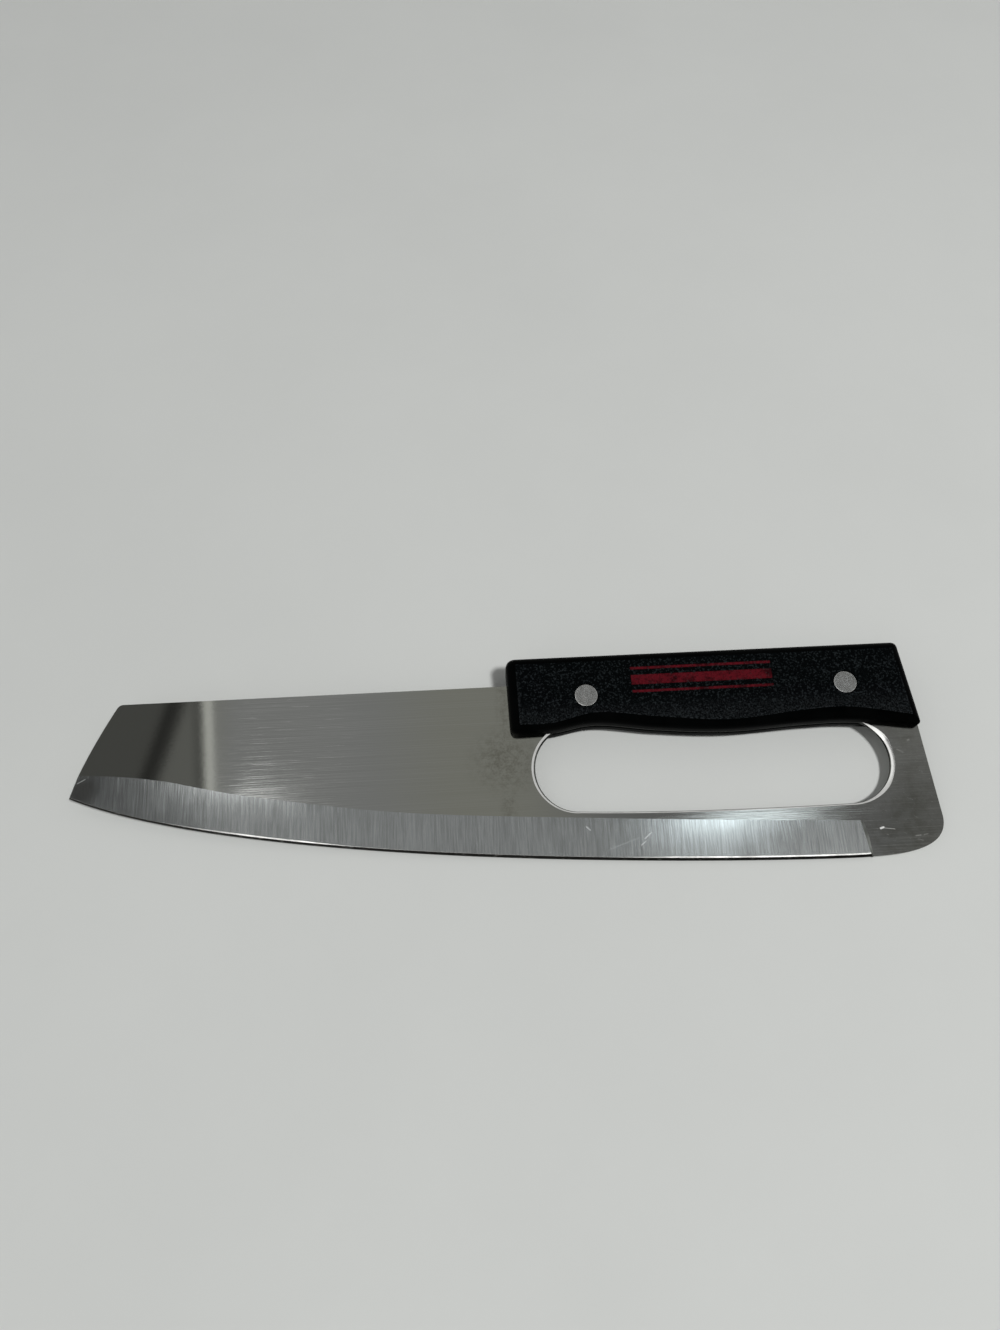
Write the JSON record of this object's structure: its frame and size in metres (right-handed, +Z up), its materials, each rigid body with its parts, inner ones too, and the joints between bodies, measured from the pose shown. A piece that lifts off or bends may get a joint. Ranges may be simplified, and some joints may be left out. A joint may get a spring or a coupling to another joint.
{
  "type": "carving knife",
  "caption": "Broad-bladed carving knife with a sloping tip and a wavy grip above a closed hand opening, one flat steel blank between riveted black scales.",
  "frame": {"origin": "centre of the bounding box in plan, on the table the knife lies on", "axes": "+X along the spine from the tip towards the butt, +Y from the cutting edge towards the spine, +Z up out of the left side; the blade leans 7.7 degrees down towards its edge, as the knife lies"},
  "size_m": [0.3, 0.0766, 0.018],
  "materials": {
    "steel": "satin, brushed along the blade, ground across the bevel",
    "scale_plastic": "pebbled faces, smooth rounded border",
    "rivet_metal": "matte, turned"
  },
  "bodies": {
    "root": {"blade": "steel", "left_scale": "scale_plastic", "right_scale": "scale_plastic", "front_rivet_sleeve": "rivet_metal", "front_rivet_pin": "rivet_metal", "rear_rivet_sleeve": "rivet_metal", "rear_rivet_pin": "rivet_metal"}
  },
  "joints": []
}
